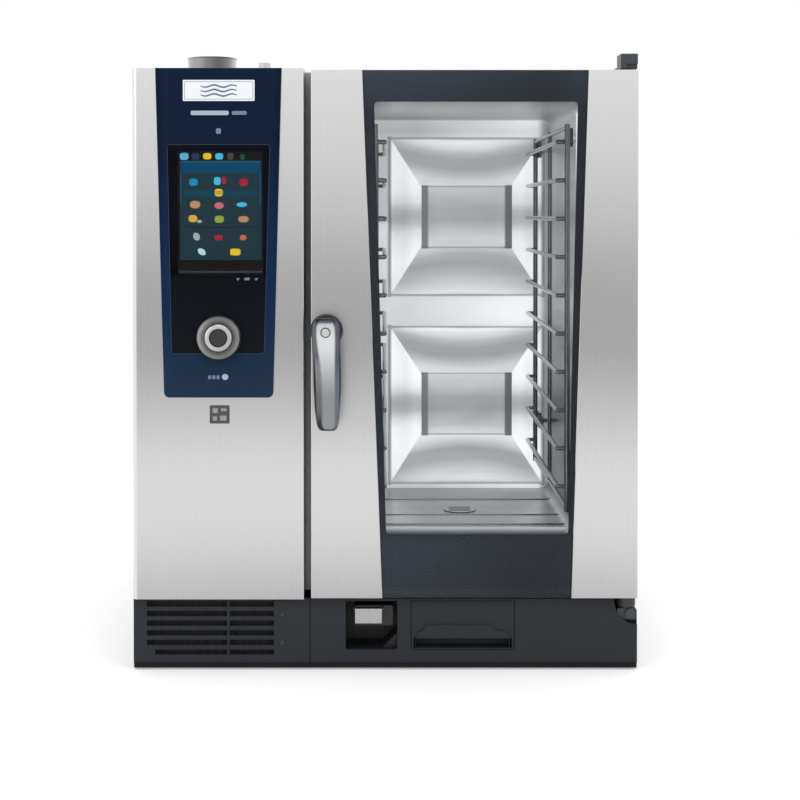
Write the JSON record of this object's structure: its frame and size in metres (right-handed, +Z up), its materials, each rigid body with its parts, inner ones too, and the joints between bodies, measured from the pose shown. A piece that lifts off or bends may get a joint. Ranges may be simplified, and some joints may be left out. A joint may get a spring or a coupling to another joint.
{
  "type": "combi steamer oven",
  "caption": "Counter-top combi steamer oven with a glazed right-hinged door, touch control column, hanging tray racks, hand shower and care drawer.",
  "frame": {"origin": "centre of the footprint on the counter, under the feet", "axes": "+Z up, the door faces -Y, +X to the right seen from the front"},
  "size_m": [0.85, 0.8421, 1.061],
  "materials": {
    "steel_brushed": "vertical fine brush, satin",
    "steel_sheet": "plain mill sheet",
    "chamber_steel": "bright annealed",
    "rack_steel": "polished wire",
    "fan_steel": "satin sheet",
    "coil_steel": "heat-tinted tube",
    "base_coated": "dark blue-grey, fine satin texture",
    "bay_plastic": "matte",
    "foot_plastic": "matte",
    "gun_plastic": "satin",
    "trigger_metal": "satin",
    "hose_rubber": "matte",
    "reel_plastic": "matte",
    "valve_brass": "nickel-free machined",
    "gland_plastic": "matte",
    "strip_rubber": "matte",
    "fascia_blue": "deep blue gloss",
    "black_glass": "gloss",
    "display_glass": "gloss",
    "module_plastic": "matte",
    "chrome_satin": "satin",
    "dial_black": "gloss",
    "gasket_rubber": "matte silicone",
    "mineral_wool": "fibrous",
    "motor_aluminium": "cast",
    "door_glass": "tinted, dark print round the window",
    "clear_glass": "clear",
    "door_inner_metal": "dark satin sheet",
    "led_plastic": "diffuser",
    "bush_brass": "sintered",
    "handle_dark": "dark satin",
    "handle_metal": "satin",
    "hinge_dark": "dark satin",
    "screw_steel": "pan head"
  },
  "bodies": {
    "housing": {"base_tray": "base_coated", "intake_grille": "base_coated", "base_front_panel": "base_coated", "levelling_feet": "foot_plastic", "shower_bay": "bay_plastic", "drawer_housing": "bay_plastic", "deck_plate": "steel_sheet", "drain_box": "steel_sheet", "water_valves": "valve_brass", "cable_gland": "gland_plastic", "left_side_panel": "steel_brushed", "right_side_panel": "steel_brushed", "rear_panel": "steel_sheet", "top_panel": "steel_brushed", "control_front_panel": "steel_brushed", "gap_strip": "strip_rubber", "control_fascia": "fascia_blue", "fascia_glass": "black_glass", "touch_display": "display_glass", "control_module": "module_plastic", "cooking_chamber": "chamber_steel", "chamber_rear_wall": "chamber_steel", "chamber_front_frame": "chamber_steel", "door_gasket": "gasket_rubber", "insulation": "mineral_wool", "partition_plate": "steel_sheet", "air_baffle": "chamber_steel", "heating_coils": "coil_steel", "fan_motors": "motor_aluminium", "drain_sieve": "rack_steel", "steam_generator": "steel_sheet", "flue_pipes": "steel_sheet", "flap_motor": "module_plastic", "strike_bracket": "rack_steel", "hinge_brackets": "hinge_dark", "panel_screws": "screw_steel"},
    "door": {"door_panel": "door_inner_metal", "door_skin_left": "steel_brushed", "door_skin_right": "steel_brushed", "outer_glass": "door_glass", "middle_glass": "clear_glass", "inner_glass": "clear_glass", "door_led_bars": "led_plastic", "handle_plate": "handle_dark", "door_bushes": "bush_brass"},
    "door_handle": {"handle_lever": "handle_metal", "handle_spindle": "rack_steel"},
    "latch": {"latch_hook": "rack_steel"},
    "dial_button": {"dial_cap": "dial_black"},
    "dial_wheel": {"dial_ring": "chrome_satin"},
    "fan_up": {"fan_wheel_upper": "fan_steel"},
    "fan_low": {"fan_wheel_lower": "fan_steel"},
    "rack_left": {"hanging_rack_left": "rack_steel"},
    "rack_right": {"hanging_rack_right": "rack_steel"},
    "flap": {"vent_flap": "rack_steel"},
    "hand_shower": {"shower_gun": "gun_plastic", "shower_hose": "hose_rubber"},
    "shower_lever": {"shower_trigger": "trigger_metal"},
    "reel": {"hose_reel": "reel_plastic"},
    "drawer": {"care_drawer": "base_coated"}
  },
  "joints": [
    {"name": "door_swing", "type": "hinge", "parent": "housing", "child": "door", "pos_m": [0.408, -0.332, 0.565], "axis": [0, 0, 1], "range_deg": [0, 180]},
    {"name": "handle_turn", "type": "hinge", "parent": "door", "child": "door_handle", "pos_m": [-0.0985, -0.37, 0.5745], "axis": [0, 1, 0], "range_deg": [-45, 45]},
    {"name": "latch_drop", "type": "hinge", "parent": "door", "child": "latch", "pos_m": [-0.078, -0.336, 0.572], "axis": [1, 0, 0], "range_deg": [-10, 0]},
    {"name": "dial_push", "type": "slide", "parent": "housing", "child": "dial_button", "axis": [0, 1, 0], "range_m": [0, 0.0014]},
    {"name": "dial_turn", "type": "hinge", "parent": "dial_button", "child": "dial_wheel", "pos_m": [-0.279, -0.37, 0.5626], "axis": [0, -1, 0], "continuous": true},
    {"name": "fan_up_spin", "type": "hinge", "parent": "housing", "child": "fan_up", "pos_m": [-0.15, 0.04, 0.765], "axis": [1, 0, 0], "continuous": true},
    {"name": "fan_low_spin", "type": "hinge", "parent": "housing", "child": "fan_low", "pos_m": [-0.15, 0.04, 0.38], "axis": [1, 0, 0], "continuous": true},
    {"name": "rack_left_lift", "type": "slide", "parent": "housing", "child": "rack_left", "axis": [0, 0, 1], "range_m": [0, 0.012]},
    {"name": "rack_right_lift", "type": "slide", "parent": "housing", "child": "rack_right", "axis": [0, 0, 1], "range_m": [0, 0.012]},
    {"name": "flap_turn", "type": "hinge", "parent": "housing", "child": "flap", "pos_m": [-0.3247, -0.059, 0.99], "axis": [0, 1, 0], "range_deg": [0, 90]},
    {"name": "shower_pull", "type": "slide", "parent": "housing", "child": "hand_shower", "axis": [0, -1, 0], "range_m": [0, 0.25]},
    {"name": "shower_squeeze", "type": "hinge", "parent": "hand_shower", "child": "shower_lever", "pos_m": [-0.0285, -0.3435, 0.1005], "axis": [1, 0, 0], "range_deg": [0, 7]},
    {"name": "reel_spin", "type": "hinge", "parent": "housing", "child": "reel", "pos_m": [-0.02, 0.1, 0.05], "axis": [1, 0, 0], "range_deg": [0, 400]},
    {"name": "drawer_slide", "type": "slide", "parent": "housing", "child": "drawer", "axis": [0, -1, 0], "range_m": [0, 0.155]}
  ],
  "couplings": [
    {"joint": "reel_spin", "follows": "shower_pull", "rad_per_m": 26.3}
  ]
}
